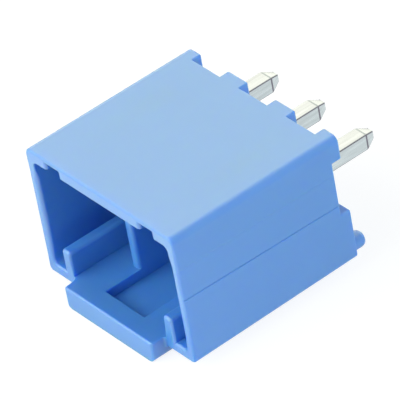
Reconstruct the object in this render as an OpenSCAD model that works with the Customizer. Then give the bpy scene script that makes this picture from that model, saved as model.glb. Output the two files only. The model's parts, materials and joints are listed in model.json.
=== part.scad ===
// Shrouded pin header: a moulded housing with an open mouth, and three square pins through its base wall.
// The header lies on its rail. X runs along the pin row, +Y points to the circuit board, +Z is up.
// The origin is the middle of the footprint, on the rail's flat underside.

/* [Pins] */
// Distance between neighbouring pins
pitch = 4.4; // [4:0.1:5.5]
// Width across a square pin
pin_w = 1.1; // [0.8:0.05:1.4]
// Width across the blunt tip of a pin
pin_tip_w = 0.55; // [0.3:0.05:0.75]
// Length of the taper at each end of a pin
pin_taper = 0.7; // [0.3:0.05:1.2]
// Length of a pin behind the board seat
pin_tail = 4.12; // [2.5:0.02:6]
// Length of a pin inside the cavity, ahead of the base wall
pin_reach = 5.7; // [3:0.1:6]
// Height of the pin row above the housing's underside
pin_rise = 5.78; // [5.2:0.02:6.2]
// Play between a pin and its hole, on each side
pin_play = 0.02; // [0.01:0.01:0.05]

/* [Housing] */
// Distance from an end pin's axis to the housing's outer side
end_margin = 2.55; // [2.3:0.05:3.2]
// Height of the housing, without the rail
housing_h = 9.28; // [9:0.02:11]
// Distance from the front rim to the board seat
seat_depth = 12.68; // [11:0.02:16]
// Thickness of the side walls
side_wall = 0.65; // [0.5:0.05:0.9]
// Thickness of the top wall
top_wall = 0.85; // [0.7:0.05:1.1]
// Thickness of the floor at the front rim
floor_wall = 0.7; // [0.6:0.05:1]
// Rise of the underside from the front rim to the board seat, for mould draft
under_rise = 0.16; // [0:0.02:0.3]
// Thickness of the base wall that holds the pins
base_wall = 2.75; // [1.8:0.05:3.4]
// Radius of the long upper edges
top_edge_r = 0.5; // [0.2:0.05:0.8]
// Radius of the long lower edges
low_edge_r = 0.35; // [0.2:0.05:0.8]
// Radius of the cavity's inner corners
cavity_r = 0.35; // [0.1:0.05:0.6]

/* [Guides in the cavity] */
// Width of a keyway in the ceiling
key_w = 1.15; // [0.8:0.05:1.6]
// Radius of a keyway's sides where they meet the front rim
key_mouth_r = 0.25; // [0.05:0.05:0.4]
// Wall left above a keyway
key_skin = 0.22; // [0.15:0.01:0.5]
// Width of a rib on the floor
rib_w = 0.8; // [0.5:0.05:1]
// Height of a rib above the floor
rib_h = 1.77; // [1:0.01:2.4]
// Gap between a rib and the side wall next to it
rib_gap = 1.09; // [0.8:0.01:1.4]
// Radius of a rib's upper edges
rib_edge_r = 0.25; // [0.05:0.05:0.25]
// Thickness of a partition between two pins
partition_w = 0.7; // [0.6:0.05:0.9]
// Distance from the front rim back to a partition's front edge
partition_setback = 3; // [1.5:0.1:5]
// Radius of a partition's front edges
partition_edge_r = 0.25; // [0.05:0.05:0.3]

/* [Rail and tongue] */
// Width of the rail under the floor
rail_w = 8.36; // [7:0.02:8.8]
// Height of the rail below the housing's underside
rail_drop = 0.78; // [0.6:0.02:1]
// Length of the tongue ahead of the front rim
tongue = 1; // [0.6:0.05:2]
// Radius of the rail's lower edges
rail_edge_r = 0.5; // [0.1:0.05:0.6]
// Radius of the tongue's front corners, seen from above
tongue_corner_r = 0.2; // [0.1:0.05:0.5]
// Radius of the fillet between the tongue's sides and the front rim
tongue_fillet_r = 0.2; // [0.1:0.05:0.4]
// Distance from the front rim back to the latch pocket
pocket_setback = 0.43; // [0.2:0.01:1]
// Depth of the latch pocket below the floor
pocket_depth = 0.71; // [0.3:0.01:0.9]

/* [Board side] */
// Depth of the slot between the base wall and the board
standoff = 0.68; // [0.4:0.02:1.2]
// Height of the slot round the pin row
slot_h = 3.78; // [2.5:0.02:4.4]
// Distance of the slot's middle below the pin row
slot_drop = 0.09; // [0:0.01:0.3]
// Width of an upper tab between two pins
tab_w = 1.84; // [1.2:0.01:2.2]
// Diameter of a locating peg
peg_d = 1.1; // [0.8:0.05:1.3]
// Length of a locating peg behind the board seat
peg_len = 1; // [0.6:0.05:1.5]
// Radius round a locating peg's end
peg_round = 0.35; // [0.1:0.05:0.4]
// Distance from the housing's side to a peg's axis
peg_inset = 0.75; // [0.7:0.05:1.4]
// Height of the pegs' axes above the housing's underside
peg_rise = 0.8; // [0.7:0.05:1.4]

/* [Hidden] */
$fn = 48;
// Overlap of joined shapes, and how far cuts run past a face
bite = 0.2;
// Plan of the row
pin_places = [-pitch, 0, pitch];
partition_places = [-pitch / 2, pitch / 2];
half_w = pitch + end_margin;
peg_x = half_w - peg_inset;
// Depths, from the tongue's front to the pins' tips
total_y = tongue + seat_depth + pin_tail;
tongue_y = -total_y / 2;
rim_y = tongue_y + tongue;
seat_y = rim_y + seat_depth;
rear_y = seat_y - standoff;
base_y = rear_y - base_wall;
tail_y = seat_y + pin_tail;
contact_y = base_y - pin_reach;
// Heights, from the rail's underside
under_z = rail_drop;
floor_z = under_z + floor_wall;
top_z = under_z + housing_h;
ceiling_z = top_z - top_wall;
pin_z = under_z + pin_rise;
slot_z = pin_z - slot_drop;
peg_z = under_z + peg_rise;
draft = atan(under_rise / seat_depth);
// Inside of the shroud
inner_x = half_w - side_wall;
rib_x = inner_x - rib_gap - rib_w;
pocket_w = pitch - partition_w;
tab_gap = pitch - tab_w;

// Runs an outline drawn in X and Z along the depth, from y0 to y1
module along_depth(y0, y1)
  translate([0, y1, 0])
    rotate([90, 0, 0])
      linear_extrude(y1 - y0)
        children();

// Rectangle from x0 to x1 and from low to high, with one radius for the lower and one for the upper corners
module soft_rect(x0, x1, low, high, low_r, high_r) {
  translate([x0 + low_r, low])
    square([x1 - x0 - 2 * low_r, high - low - high_r]);
  translate([x0 + high_r, low + low_r])
    square([x1 - x0 - 2 * high_r, high - low - low_r]);
  translate([x0, low + low_r])
    square([x1 - x0, high - low - low_r - high_r]);
  for (x = [x0 + low_r, x1 - low_r])
    translate([x, low + low_r])
      circle(low_r);
  for (x = [x0 + high_r, x1 - high_r])
    translate([x, high - high_r])
      circle(high_r);
}

// Outer block of the shroud, from the front rim to the board seat, with an underside that rises to the seat
module shroud_block()
  intersection() {
    along_depth(rim_y, seat_y)
      soft_rect(-half_w, half_w, under_z, top_z, 0, top_edge_r);
    translate([0, rim_y, under_z])
      rotate([draft, 0, 0])
        along_depth(-1, seat_depth + 1)
          soft_rect(-half_w, half_w, 0, 2 * housing_h, low_edge_r, 0);
  }

// Space that the mating plug enters, open at the front rim
module cavity()
  along_depth(rim_y - bite, base_y)
    soft_rect(-inner_x, inner_x, floor_z, ceiling_z, cavity_r, cavity_r);

// Plan of a keyway round x: a slot whose sides open out in a radius at the front rim
module keyway_plan(x) {
  translate([x - key_w / 2, rim_y - bite])
    square([key_w, base_y - rim_y + bite]);
  difference() {
    translate([x - key_w / 2 - key_mouth_r, rim_y - bite])
      square([key_w + 2 * key_mouth_r, key_mouth_r + bite]);
    for (side = [-1, 1])
      translate([x + side * (key_w / 2 + key_mouth_r), rim_y + key_mouth_r])
        circle(key_mouth_r);
  }
}

// Grooves in the ceiling, one over each end pin, that key the mating plug
module keyways()
  for (x = [-pitch, pitch])
    translate([0, 0, ceiling_z - bite])
      linear_extrude(top_wall - key_skin + bite)
        keyway_plan(x);

// Slot round the pin row, open at both sides, and the gaps that split the wall above it into tabs
module board_slot() {
  along_depth(rear_y, seat_y + bite)
    translate([-half_w - bite, slot_z - slot_h / 2])
      square([2 * (half_w + bite), slot_h]);
  for (x = pin_places)
    along_depth(rear_y, seat_y + bite)
      translate([x - tab_gap / 2, pin_z])
        square([tab_gap, top_z - pin_z + bite]);
}

// Walls from floor to ceiling between neighbouring pins
module partitions()
  for (x = partition_places)
    translate([0, 0, floor_z - bite])
      linear_extrude(ceiling_z - floor_z + 2 * bite)
        soft_rect(x - partition_w / 2, x + partition_w / 2, rim_y + partition_setback, base_y + bite,
          partition_edge_r, 0);

// Low guides on the floor, beside the side walls, flush with the front rim
module ribs()
  for (side = [0, 1])
    mirror([side, 0, 0])
      along_depth(rim_y, base_y + bite)
        soft_rect(rib_x, rib_x + rib_w, floor_z - bite, floor_z + rib_h, 0, rib_edge_r);

// Rail under the floor, which runs out ahead of the front rim as a tongue
module rail()
  intersection() {
    along_depth(tongue_y, seat_y)
      soft_rect(-rail_w / 2, rail_w / 2, 0, floor_z, rail_edge_r, 0);
    linear_extrude(floor_z)
      soft_rect(-rail_w / 2, rail_w / 2, tongue_y, seat_y, tongue_corner_r, 0);
  }

// Concave fillets where the tongue's sides leave the front rim
module tongue_fillets()
  for (side = [0, 1])
    mirror([side, 0, 0])
      translate([rail_w / 2, rim_y, under_z])
        linear_extrude(floor_wall)
          difference() {
            translate([-bite, -tongue_fillet_r])
              square([tongue_fillet_r + bite, tongue_fillet_r + bite]);
            translate([tongue_fillet_r, -tongue_fillet_r])
              circle(tongue_fillet_r);
          }

// Recess in the floor between the partitions, for the mating plug's latch
module latch_pocket()
  translate([-pocket_w / 2, rim_y + pocket_setback, floor_z - pocket_depth])
    cube([pocket_w, base_y - rim_y - pocket_setback, pocket_depth + bite]);

// Locating pegs on the board seat, with rounded ends
module pegs()
  for (x = [-peg_x, peg_x])
    translate([x, seat_y, peg_z])
      rotate([-90, 0, 0])
        rotate_extrude() {
          translate([0, -bite])
            square([peg_d / 2, peg_len - peg_round + bite]);
          square([peg_d / 2 - peg_round, peg_len]);
          translate([peg_d / 2 - peg_round, peg_len - peg_round])
            intersection() {
              circle(peg_round);
              square(peg_round);
            }
        }

// Square holes through the base wall, one for each pin
module pin_holes()
  for (x = pin_places)
    translate([x - pin_w / 2 - pin_play, base_y - bite, pin_z - pin_w / 2 - pin_play])
      cube([pin_w + 2 * pin_play, base_wall + 2 * bite, pin_w + 2 * pin_play]);

// Outline of a pin from above or from the side: a bar with a taper at each end
function pin_outline() = [
  for (side = [-1, 1])
    each [
      [side * pin_tip_w / 2, side > 0 ? tail_y : contact_y],
      [side * pin_w / 2, side > 0 ? tail_y - pin_taper : contact_y + pin_taper],
      [side * pin_w / 2, side > 0 ? contact_y + pin_taper : tail_y - pin_taper],
      [side * pin_tip_w / 2, side > 0 ? contact_y : tail_y]
    ]
];

// Square pin whose two ends taper on all four sides
module square_pin()
  intersection() {
    translate([0, 0, -pin_w / 2])
      linear_extrude(pin_w)
        polygon(pin_outline());
    rotate([0, 90, 0])
      translate([0, 0, -pin_w / 2])
        linear_extrude(pin_w)
          polygon(pin_outline());
  }

module housing()
  color("#78abe6")
    difference() {
      union() {
        difference() {
          shroud_block();
          cavity();
          keyways();
          board_slot();
        }
        partitions();
        ribs();
        rail();
        tongue_fillets();
        pegs();
      }
      latch_pocket();
      pin_holes();
    }

module pin(place)
  color("#d5dbdf")
    translate([pin_places[place], 0, pin_z])
      square_pin();

housing();
pin(0);  // pin_left
pin(1);  // pin_middle
pin(2);  // pin_right
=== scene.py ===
# Looks of the shrouded pin header: soft moulded edges, satin blue nylon and tinned pins, in a white studio.
import json
import math

import bmesh
import bpy
from mathutils import Matrix, Vector


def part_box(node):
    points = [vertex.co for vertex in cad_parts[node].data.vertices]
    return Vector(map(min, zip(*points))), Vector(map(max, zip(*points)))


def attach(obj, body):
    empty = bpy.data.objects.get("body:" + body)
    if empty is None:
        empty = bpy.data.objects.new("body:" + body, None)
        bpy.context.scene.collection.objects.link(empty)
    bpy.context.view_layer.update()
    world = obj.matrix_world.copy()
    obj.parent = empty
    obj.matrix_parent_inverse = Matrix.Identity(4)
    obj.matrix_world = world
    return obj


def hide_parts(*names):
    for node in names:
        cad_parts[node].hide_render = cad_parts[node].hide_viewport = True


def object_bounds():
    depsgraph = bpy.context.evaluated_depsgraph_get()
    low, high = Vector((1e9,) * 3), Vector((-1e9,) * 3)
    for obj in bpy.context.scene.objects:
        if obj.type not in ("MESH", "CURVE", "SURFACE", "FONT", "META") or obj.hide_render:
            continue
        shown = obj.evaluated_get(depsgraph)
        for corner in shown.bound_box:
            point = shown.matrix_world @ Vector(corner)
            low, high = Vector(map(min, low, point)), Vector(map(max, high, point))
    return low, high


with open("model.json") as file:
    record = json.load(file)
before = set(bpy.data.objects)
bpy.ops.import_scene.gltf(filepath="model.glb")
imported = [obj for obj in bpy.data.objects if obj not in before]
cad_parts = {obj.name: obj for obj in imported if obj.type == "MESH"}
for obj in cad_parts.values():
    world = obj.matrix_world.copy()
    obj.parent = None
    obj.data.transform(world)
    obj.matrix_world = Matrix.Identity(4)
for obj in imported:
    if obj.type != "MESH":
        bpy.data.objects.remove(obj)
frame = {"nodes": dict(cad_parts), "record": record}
cad_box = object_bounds()

MM = 0.001
BODY = "root"
X_AXIS, Y_AXIS = 0, 1
WHITE = (1, 1, 1, 1)

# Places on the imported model
mounts = {m["name"]: m for m in frame["record"]["mounts"]}
house_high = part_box("housing")[1]
SIDE_X = house_high.x
TOP_Z = house_high.z
RIM_Y = mounts["plug_mouth"]["pos_m"][1]
MOUTH_Z = mounts["plug_mouth"]["pos_m"][2]
SEAT_Y = mounts["board_seat"]["pos_m"][1]
PIN_Z = mounts["solder_tails"]["pos_m"][2]
PINS = ("pin_left", "pin_middle", "pin_right")
PIN_XS = [(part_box(n)[0].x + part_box(n)[1].x) / 2 for n in PINS]
PEG_XS = [mounts[n]["pos_m"][0] for n in ("peg_left", "peg_right")]

# Sizes of the housing, as in the solids
SIDE_WALL = 0.65 * MM
TOP_WALL = 0.85 * MM
FLOOR_WALL = 0.7 * MM
TOP_EDGE_R = 0.5 * MM
LOW_EDGE_R = 0.35 * MM
CAVITY_R = 0.35 * MM
RIB_W = 0.8 * MM
RIB_GAP = 1.09 * MM
RAIL_W = 8.36 * MM
RAIL_DROP = 0.78 * MM
TONGUE_FILLET_R = 0.2 * MM
STANDOFF = 0.68 * MM
SLOT_H = 3.78 * MM
SLOT_DROP = 0.09 * MM

# Places that tell the housing's edges apart
CAVITY_X = SIDE_X - SIDE_WALL
CAVITY_CORNER_X = CAVITY_X - CAVITY_R
RIB_OUTER_X = CAVITY_X - RIB_GAP
RIB_INNER_X = RIB_OUTER_X - RIB_W
RAIL_X = RAIL_W / 2
REAR_Y = SEAT_Y - STANDOFF
FLOOR_Z = RAIL_DROP + FLOOR_WALL
CEILING_Z = TOP_Z - TOP_WALL
SLOT_Z = PIN_Z - SLOT_DROP - SLOT_H / 2

# Edge radii of the moulding
RIM_OUTER_R = 0.16 * MM
MOUTH_TOP_R = 0.1 * MM
MOUTH_LOW_R = 0.2 * MM
UPRIGHT_INNER_R = 0.3 * MM
UPRIGHT_OUTER_R = 0.2 * MM
TONGUE_R = 0.14 * MM
INNER_R = 0.1 * MM
BOARD_SIDE_R = 0.13 * MM
FOOT_R = 0.08 * MM
LARGEST_R = UPRIGHT_INNER_R
# Length at each end of an upright rim edge over which its radius grows, and the steps on it
UPRIGHT_EASE = 1.2 * MM
UPRIGHT_STEPS = 6
# Upright edges of the front rim: distance from the middle, lower end, upper end and radius
UPRIGHTS = [
    (CAVITY_X, FLOOR_Z + CAVITY_R, CEILING_Z - CAVITY_R, UPRIGHT_INNER_R),
    (SIDE_X, RAIL_DROP + LOW_EDGE_R, TOP_Z - TOP_EDGE_R, UPRIGHT_OUTER_R),
]

# Mould lines along both sides: heights at the rim and at the board side, and sections as (outwards, up) in mm
MOULD_LINES = [
    (5.55 * MM, 5.31 * MM, [(0.05, -0.11), (0.05, 0.14), (-0.06, 0.035), (-0.06, -0.035)]),
    (7.74 * MM, 7.61 * MM, [(0.05, -0.033), (0, -0.033), (-0.028, 0), (0.05, 0)]),
]
LINE_OVERRUN = 0.25 * MM

# Edge radii of the pins: rolled and cut long edges, edges round the tapers, and edges of the tips
PIN_ROLLED_R = 0.16 * MM
PIN_EDGE_R = 0.07 * MM
PIN_RING_R = 0.07 * MM
PIN_TIP_R = 0.02 * MM
# Material slots: the faces, and on a pin also its edges, which carry a painted dark shade, and its upper and
# lower sides, which carry a darker painted shade
FACE_SLOT, EDGE_PAINTED_SHADE_SLOT, UPPER_LOWER_PAINTED_SHADE_SLOT = range(3)
# Least sideways and upright share of the normals on the rolled edges, which take the face tin instead of the
# painted dark edge shade
ROLLED_TILT = 0.15
# Least upright share of the normals on the pins' upper and lower sides, which take the darker painted shade
UPPER_LOWER_NORMAL_Z = 0.8

# Mesh work: tolerances, the angles that count as flat, sharp and smooth, and the steps of a rounding
NEAR = 0.004 * MM
MERGE_DISTANCE = 0.0001 * MM
FLAT_ANGLE = math.radians(0.5)
SHARP_ANGLE = math.radians(40)
PIN_SHARP_ANGLE = math.radians(10)
SMOOTH_ANGLE = math.radians(38)
EDGE_SEGMENTS = 4
# Weight of the large faces in the shading normals: 50 is neutral and 100 the most
LARGE_FACE_WEIGHT = 100

# Nylon: two close blues in soft clouds, and a fine grain in the gloss
NYLON_BLUES = ((0.075, 0.300, 0.710), (0.088, 0.320, 0.740))
NYLON_CLOUD_SCALE = 260.0
NYLON_CLOUD_ROUGHNESS = 0.55
NYLON_GRAIN_SCALE = 9000.0
NYLON_GRAIN_STRENGTH = 0.06
NYLON_GRAIN_DEPTH = 0.01 * MM
NYLON_ROUGHNESS = (0.33, 0.41)
NYLON_IOR = 1.53
NYLON_SPECULAR = 0.95
NYLON_SCATTER_WEIGHT = 1.0
NYLON_SCATTER_RADII = (0.15, 0.4, 1.0)
NYLON_SCATTER_DEPTH = 0.8 * MM

# Tin: bright faces, edges darkened by a painted shade that stands for dark reflections, and upper and lower
# sides with a darker, bluer painted shade that offsets the gloss lamp's highlight, all with streaks along the
# pin
TIN_FACE = (0.58, 0.645, 0.66)
TIN_EDGE_PAINTED_SHADE = (0.2, 0.198, 0.235)
TIN_UPPER_LOWER_PAINTED_SHADE = (0.345, 0.325, 0.375)
TIN_STREAK_TONES = (0.75, 1.2)
TIN_STREAK_SCALE = 5000.0
TIN_STREAK_STRETCH = (1, 0.08, 1)
TIN_ROUGHNESS = (0.18, 0.32)

# Studio: a floor that keeps the shadow, an even world, and a lamp lying ahead of the tongue
FLOOR_SIZE = 2.0
FLOOR_DROP = 0.01 * MM
FLOOR_WHITE = 0.8
FLOOR_SEEN_WHITE = 0.25
FLOOR_LIFT = 0.85
FLOOR_ROUGHNESS = 0.9
WORLD_LEVEL = 0.15
WORLD_SEEN_LEVEL = 1.0
PANEL_WIDTH = 60 * MM
PANEL_DEPTH = 12 * MM
PANEL_GAP = 2 * MM

# Camera, fitted to the photograph
CAMERA_AZIMUTH = math.radians(57.168)
CAMERA_ELEVATION = math.radians(37.096)
CAMERA_ROLL = math.radians(10.924)
CAMERA_PLACE = Vector((218.0, -141.611, 201.488)) * MM
CAMERA_LENS = 495.0
SENSOR_WIDTH = 36.0
CLIP_START = 0.01
CLIP_END = 20.0


def new_object(name, data):
    made = bpy.data.objects.new(name, data)
    bpy.context.scene.collection.objects.link(made)
    return made


def object_from(work, name):
    """A new object with the bmesh's faces; the bmesh is freed."""
    mesh = bpy.data.meshes.new(name)
    work.to_mesh(mesh)
    work.free()
    return new_object(name, mesh)


def clean_copy(node, cuts=()):
    """The node's mesh as a new bmesh, with its flat faces whole again.

    Each cut (depth, x) divides the flat face at that depth, so that no face has a hole in it."""
    work = bmesh.new()
    work.from_mesh(frame["nodes"][node].data)
    bmesh.ops.remove_doubles(work, verts=work.verts, dist=MERGE_DISTANCE)
    for depth, x in cuts:
        flat = [f for f in work.faces if all(abs(v.co.y - depth) < NEAR for v in f.verts)]
        parts = flat + list({e for f in flat for e in f.edges}) + list({v for f in flat for v in f.verts})
        made = bmesh.ops.bisect_plane(
            work, geom=parts, dist=MERGE_DISTANCE, plane_co=(x, 0, 0), plane_no=(1, 0, 0)
        )
        for piece in made["geom_cut"]:
            if isinstance(piece, bmesh.types.BMEdge):
                piece.seam = True
    bmesh.ops.dissolve_limit(
        work, angle_limit=FLAT_ANGLE, verts=work.verts, edges=work.edges, delimit={"SEAM"}
    )
    return work


def is_sharp(edge, angle):
    return len(edge.link_faces) == 2 and edge.is_convex and edge.calc_face_angle() > angle


def on_plane(edge, axis, value):
    return all(abs(v.co[axis] - value) < NEAR for v in edge.verts)


def on_upright(edge, x):
    """Whether the edge lies at the distance x from the middle, on either side."""
    return on_plane(edge, X_AXIS, x) or on_plane(edge, X_AXIS, -x)


def housing_radius(edge):
    """Radius of a housing edge, by where the edge lies."""
    middle = (edge.verts[0].co + edge.verts[1].co) / 2
    from_middle = abs(middle.x)
    if middle.y > REAR_Y - NEAR:
        return FOOT_R if middle.z < SLOT_Z - NEAR else BOARD_SIDE_R
    beside_tongue = RAIL_X - NEAR < from_middle < RIB_INNER_X + NEAR and middle.z < FLOOR_Z + NEAR
    if beside_tongue and middle.y > RIM_Y - TONGUE_FILLET_R:
        return 0
    if middle.y < RIM_Y - NEAR:
        return TONGUE_R if middle.z > FLOOR_Z - NEAR else 0
    if not on_plane(edge, Y_AXIS, RIM_Y):
        return INNER_R
    side = max((f.normal for f in edge.link_faces), key=lambda n: n.y)
    outwards = side.x * middle.x + side.z * (middle.z - MOUTH_Z) > 0
    if (outwards and from_middle > RIB_OUTER_X + NEAR) or middle.z > TOP_Z - NEAR:
        radius = RIM_OUTER_R
    elif middle.z > CEILING_Z + NEAR and from_middle < CAVITY_CORNER_X:
        return 0
    else:
        radius = MOUTH_TOP_R if middle.z > MOUTH_Z else MOUTH_LOW_R
    for x, low, high, full in UPRIGHTS:
        if on_upright(edge, x):
            plain = UPRIGHT_EASE / UPRIGHT_STEPS
            part = (min(middle.z - low, high - middle.z) - plain) / (UPRIGHT_EASE - plain)
            part = min(max(part, 0), 1)
            radius += (full - radius) * part * part * (3 - 2 * part)
    return radius


def divide_uprights(work):
    """Divides the upright rim edges near their ends, so that the radius can change along them."""
    for x, low, high, _ in UPRIGHTS:
        for step in range(1, UPRIGHT_STEPS + 1):
            rise = UPRIGHT_EASE * step / UPRIGHT_STEPS
            for z in (low + rise, high - rise):
                edges = [e for e in work.edges if on_plane(e, Y_AXIS, RIM_Y) and on_upright(e, x)]
                parts = edges + list({v for e in edges for v in e.verts})
                bmesh.ops.bisect_plane(
                    work, geom=parts, dist=MERGE_DISTANCE, plane_co=(0, 0, z), plane_no=(0, 0, 1)
                )


def apply_modifiers(made):
    """Bakes the object's modifiers into its mesh."""
    evaluated = made.evaluated_get(bpy.context.evaluated_depsgraph_get())
    mesh = bpy.data.meshes.new_from_object(evaluated)
    made.modifiers.clear()
    made.data = mesh


def round_edges(made, work, radius_of, largest, angle, edge_slot):
    """Rounds each outer edge sharper than the angle to its own radius."""
    weight = work.edges.layers.float.new("bevel_weight_edge")
    for edge in work.edges:
        edge[weight] = radius_of(edge) / largest if is_sharp(edge, angle) else 0
    work.to_mesh(made.data)
    work.free()
    bevel = made.modifiers.new("edges", "BEVEL")
    bevel.limit_method = "WEIGHT"
    bevel.width = largest
    bevel.segments = EDGE_SEGMENTS
    bevel.use_clamp_overlap = False
    bevel.material = edge_slot
    apply_modifiers(made)


def keep_inside(made):
    """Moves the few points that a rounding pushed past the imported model's box back onto it."""
    for vertex in made.data.vertices:
        vertex.co = [min(max(c, low), high) for c, low, high in zip(vertex.co, *cad_box)]


def mould_line_cutter(side, front_z, rear_z, section):
    """A thin bar along one side of the housing, with the line's section."""
    work = bmesh.new()
    rings = []
    for y, z in ((RIM_Y - LINE_OVERRUN, front_z), (REAR_Y + LINE_OVERRUN, rear_z)):
        ring = [work.verts.new((side * (SIDE_X + dx * MM), y, z + dz * MM)) for dx, dz in section]
        work.faces.new(ring)
        rings.append(ring)
    front, rear = rings
    count = len(section)
    for i in range(count):
        k = (i + 1) % count
        work.faces.new((front[i], front[k], rear[k], rear[i]))
    bmesh.ops.recalc_face_normals(work, faces=work.faces)
    return object_from(work, "mould_line")


def cut_mould_lines(shell):
    """Cuts the fine mould lines into both sides of the housing."""
    cutters = [mould_line_cutter(side, *line) for line in MOULD_LINES for side in (-1, 1)]
    for cutter in cutters:
        cut = shell.modifiers.new("line", "BOOLEAN")
        cut.operation = "DIFFERENCE"
        cut.solver = "EXACT"
        cut.object = cutter
    apply_modifiers(shell)
    for cutter in cutters:
        bpy.data.objects.remove(cutter, do_unlink=True)


def shade_smooth(made):
    """Shades the roundings smooth and keeps the flat faces and the sharper edges crisp."""
    work = bmesh.new()
    work.from_mesh(made.data)
    for edge in work.edges:
        edge.smooth = edge.calc_face_angle(0) < SMOOTH_ANGLE
    for face in work.faces:
        face.smooth = True
    work.to_mesh(made.data)
    work.free()
    normals = made.modifiers.new("normals", "WEIGHTED_NORMAL")
    normals.keep_sharp = True
    normals.weight = LARGE_FACE_WEIGHT


def make_housing(material):
    """The moulding with its rounded edges and mould lines, in place of the plain solid."""
    mesh = bpy.data.meshes.new("housing_shell")
    mesh.materials.append(material)
    shell = new_object("housing_shell", mesh)
    cuts = [(SEAT_Y, x) for x in PEG_XS] + [(REAR_Y, x) for x in PIN_XS]
    work = clean_copy("housing", cuts)
    divide_uprights(work)
    round_edges(shell, work, housing_radius, LARGEST_R, SHARP_ANGLE, FACE_SLOT)
    keep_inside(shell)
    cut_mould_lines(shell)
    shade_smooth(shell)
    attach(shell, BODY)
    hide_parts("housing")


def pin_radius(edge):
    """Radius of a pin's edge: long edges, softer on the rolled side, and edges round the tapers and tips."""
    ends = [v.co.y for v in edge.verts]
    if abs(ends[0] - ends[1]) > NEAR:
        rolled = sum(f.normal.x for f in edge.link_faces) < 0
        return PIN_ROLLED_R if rolled else PIN_EDGE_R
    return PIN_RING_R if edge.calc_face_angle() < SHARP_ANGLE else PIN_TIP_R


def make_pin(node, materials):
    """A pin with rounded edges, in place of the plain solid. The materials are in the order of the slots."""
    mesh = bpy.data.meshes.new(node + "_tin")
    for material in materials:
        mesh.materials.append(material)
    pin = new_object(node + "_tin", mesh)
    round_edges(pin, clean_copy(node), pin_radius, PIN_ROLLED_R, PIN_SHARP_ANGLE, EDGE_PAINTED_SHADE_SLOT)
    keep_inside(pin)
    # Painted shade: the bevel faces keep the dark edge tin, except on the rolled side, which takes the face
    # tin
    for face in pin.data.polygons:
        if face.normal.x < -ROLLED_TILT and abs(face.normal.z) > ROLLED_TILT:
            face.material_index = FACE_SLOT
        # Painted shade: the upper and lower faces take a darker, bluer tin that offsets the gloss lamp's
        # bright yellow reflection on them
        if abs(face.normal.z) > UPPER_LOWER_NORMAL_Z and face.material_index == FACE_SLOT:
            face.material_index = UPPER_LOWER_PAINTED_SHADE_SLOT
    shade_smooth(pin)
    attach(pin, BODY)
    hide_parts(node)


def principled(name):
    material = bpy.data.materials.new(name)
    material.use_nodes = True
    return material, material.node_tree, material.node_tree.nodes["Principled BSDF"]


def add_node(tree, kind, **values):
    made = tree.nodes.new(kind)
    for key, value in values.items():
        if key in made.inputs:
            made.inputs[key].default_value = value
        else:
            setattr(made, key, value)
    return made


def blend_colours(tree, factor, colours, socket):
    """Feeds the socket with the first colour where the factor is 0 and the second where it is 1."""
    tone = add_node(tree, "ShaderNodeMix", data_type="RGBA")
    for name, colour in zip("AB", colours):
        tone.inputs[name].default_value = (*colour, 1)
    tree.links.new(factor, tone.inputs["Factor"])
    tree.links.new(tone.outputs["Result"], socket)


def spread(tree, factor, low, high, socket):
    """Feeds the socket with low where the factor is 0 and high where it is 1."""
    span = add_node(tree, "ShaderNodeMapRange")
    span.inputs["To Min"].default_value = low
    span.inputs["To Max"].default_value = high
    tree.links.new(factor, span.inputs["Value"])
    tree.links.new(span.outputs["Result"], socket)


def nylon_material():
    """Satin blue nylon that lets a little light through at its thin walls and edges."""
    material, tree, shader = principled("moulded_nylon_look")
    link = tree.links.new
    place = add_node(tree, "ShaderNodeTexCoord").outputs["Object"]
    cloud = add_node(
        tree, "ShaderNodeTexNoise", Scale=NYLON_CLOUD_SCALE, Detail=3.0, Roughness=NYLON_CLOUD_ROUGHNESS
    )
    link(place, cloud.inputs["Vector"])
    blend_colours(tree, cloud.outputs["Fac"], NYLON_BLUES, shader.inputs["Base Color"])
    grain = add_node(tree, "ShaderNodeTexNoise", Scale=NYLON_GRAIN_SCALE, Detail=2.0)
    link(place, grain.inputs["Vector"])
    spread(tree, grain.outputs["Fac"], *NYLON_ROUGHNESS, shader.inputs["Roughness"])
    bump = add_node(tree, "ShaderNodeBump", Strength=NYLON_GRAIN_STRENGTH, Distance=NYLON_GRAIN_DEPTH)
    link(grain.outputs["Fac"], bump.inputs["Height"])
    link(bump.outputs["Normal"], shader.inputs["Normal"])
    shader.inputs["IOR"].default_value = NYLON_IOR
    shader.inputs["Specular IOR Level"].default_value = NYLON_SPECULAR
    shader.inputs["Subsurface Weight"].default_value = NYLON_SCATTER_WEIGHT
    shader.inputs["Subsurface Radius"].default_value = NYLON_SCATTER_RADII
    shader.inputs["Subsurface Scale"].default_value = NYLON_SCATTER_DEPTH
    return material


def tin_material(name, shade):
    """Tin plating of one shade, with fine streaks along the pin."""
    material, tree, shader = principled(name)
    place = add_node(tree, "ShaderNodeTexCoord").outputs["Object"]
    stretch = add_node(tree, "ShaderNodeMapping", Scale=TIN_STREAK_STRETCH)
    tree.links.new(place, stretch.inputs["Vector"])
    streak = add_node(tree, "ShaderNodeTexNoise", Scale=TIN_STREAK_SCALE, Detail=3.0)
    tree.links.new(stretch.outputs["Vector"], streak.inputs["Vector"])
    shades = [[tone * c for c in shade] for tone in TIN_STREAK_TONES]
    blend_colours(tree, streak.outputs["Fac"], shades, shader.inputs["Base Color"])
    spread(tree, streak.outputs["Fac"], *TIN_ROUGHNESS, shader.inputs["Roughness"])
    shader.inputs["Metallic"].default_value = 1.0
    return material


def background_rays(tree):
    """One for the rays that show the white background: from the camera, a glossy face or a clear body."""
    path = add_node(tree, "ShaderNodeLightPath")
    seen = path.outputs["Is Camera Ray"]
    for kind in ("Is Glossy Ray", "Is Transmission Ray"):
        either = add_node(tree, "ShaderNodeMath", operation="MAXIMUM")
        tree.links.new(seen, either.inputs[0])
        tree.links.new(path.outputs[kind], either.inputs[1])
        seen = either.outputs[0]
    return seen


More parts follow.
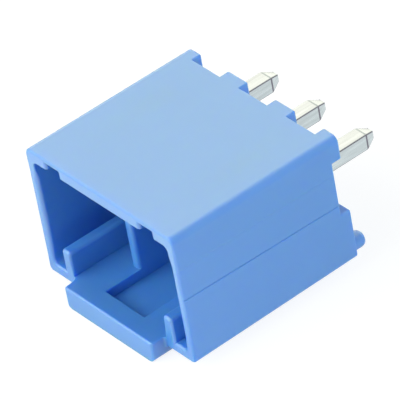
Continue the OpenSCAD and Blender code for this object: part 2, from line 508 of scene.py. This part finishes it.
def make_floor():
    """A matt floor that looks white, keeps the soft shadow and throws light back up."""
    work = bmesh.new()
    bmesh.ops.create_grid(work, x_segments=1, y_segments=1, size=FLOOR_SIZE / 2)
    floor = object_from(work, "studio_floor")
    floor.location.z = cad_box[0].z - FLOOR_DROP
    material, tree, shader = principled("floor_white")
    seen = background_rays(tree)
    spread(tree, seen, FLOOR_WHITE, FLOOR_SEEN_WHITE, shader.inputs["Base Color"])
    shader.inputs["Roughness"].default_value = FLOOR_ROUGHNESS
    shader.inputs["Specular IOR Level"].default_value = 0.0
    shader.inputs["Emission Color"].default_value = WHITE
    spread(tree, seen, 0.0, FLOOR_LIFT, shader.inputs["Emission Strength"])
    floor.data.materials.append(material)


def make_world():
    """A dim even light all round, which looks white behind the part and in its gloss."""
    world = bpy.data.worlds.new("studio")
    bpy.context.scene.world = world
    world.use_nodes = True
    tree = world.node_tree
    shade = tree.nodes["Background"]
    shade.inputs["Color"].default_value = WHITE
    spread(tree, background_rays(tree), WORLD_LEVEL, WORLD_SEEN_LEVEL, shade.inputs["Strength"])


def add_softbox(name, direction, distance, size, level, color, matte=True, gloss=True):
    """A square lamp that gives a white surface facing it about the stated level."""
    lamp = bpy.data.lights.new(name, "AREA")
    lamp.size = size
    lamp.color = color
    lamp.energy = level * math.pi**2 * distance**2
    box = new_object(name, lamp)
    towards = Vector(direction).normalized()
    centre = (cad_box[0] + cad_box[1]) / 2
    box.location = centre + towards * distance
    box.rotation_mode = "QUATERNION"
    box.rotation_quaternion = towards.to_track_quat("Z", "Y")
    box.visible_diffuse = matte
    box.visible_glossy = gloss


def add_table_panel(name, level, color):
    """A wide lamp that lies on the floor ahead of the tongue and shines upwards, seen in the gloss alone."""
    lamp = bpy.data.lights.new(name, "AREA")
    lamp.shape = "RECTANGLE"
    lamp.size = PANEL_WIDTH
    lamp.size_y = PANEL_DEPTH
    lamp.color = color
    lamp.energy = level * math.pi * PANEL_WIDTH * PANEL_DEPTH
    panel = new_object(name, lamp)
    panel.location = (0, cad_box[0].y - PANEL_GAP - PANEL_DEPTH / 2, cad_box[0].z)
    panel.rotation_euler = (math.pi, 0, 0)
    panel.visible_camera = False
    panel.visible_diffuse = False


def add_lamps():
    """Key light, fill from the right and the front, and two lamps for the gloss on the top and the rim."""
    add_softbox(
        "key_softbox", direction=(-0.35, -0.72, 0.6), distance=0.35, size=0.4, level=1.0,
        color=(1, 1, 0.93)
    )
    add_softbox(
        "right_softbox", direction=(0.8, 0.5, 0.4), distance=0.35, size=0.45, level=0.98,
        color=(0.82, 0.97, 1), gloss=False
    )
    add_softbox(
        "front_softbox", direction=(0.15, -0.9, 0.3), distance=0.35, size=0.4, level=0.43,
        color=(0.85, 0.97, 1), gloss=False
    )
    add_softbox(
        "gloss_softbox", direction=(-0.62, 0.5, 0.55), distance=0.25, size=0.4, level=1.62,
        color=(0.88, 1, 0.68), matte=False
    )
    add_table_panel("front_panel", level=0.95, color=(1, 1, 0.55))


def make_camera():
    """The photograph's view: a long lens that looks down from the right, rolled a little."""
    data = bpy.data.cameras.new("camera")
    data.lens = CAMERA_LENS
    data.sensor_width = SENSOR_WIDTH
    data.clip_start = CLIP_START
    data.clip_end = CLIP_END
    camera = new_object("camera", data)
    flat = math.cos(CAMERA_ELEVATION)
    back = Vector((
        math.sin(CAMERA_AZIMUTH) * flat,
        -math.cos(CAMERA_AZIMUTH) * flat,
        math.sin(CAMERA_ELEVATION),
    ))
    level_right = Vector((math.cos(CAMERA_AZIMUTH), math.sin(CAMERA_AZIMUTH), 0))
    level_up = back.cross(level_right)
    right = level_right * math.cos(CAMERA_ROLL) - level_up * math.sin(CAMERA_ROLL)
    up = back.cross(right)
    turn = Matrix((right, up, back)).transposed().to_4x4()
    camera.matrix_world = Matrix.Translation(CAMERA_PLACE) @ turn
    bpy.context.scene.camera = camera


make_camera()
make_housing(nylon_material())
tins = [
    tin_material("tinned_pin_look", TIN_FACE),
    # Tin with a painted dark shade for the edges, in place of their dark reflections
    tin_material("tinned_edge_painted_shade", TIN_EDGE_PAINTED_SHADE),
    # Tin with a darker, bluer painted shade for the upper and lower sides, against the gloss lamp's
    # reflection
    tin_material("tinned_upper_lower_painted_shade", TIN_UPPER_LOWER_PAINTED_SHADE),
]
for node in PINS:
    make_pin(node, tins)
make_floor()
make_world()
add_lamps()
bpy.context.scene.view_settings.view_transform = "Standard"
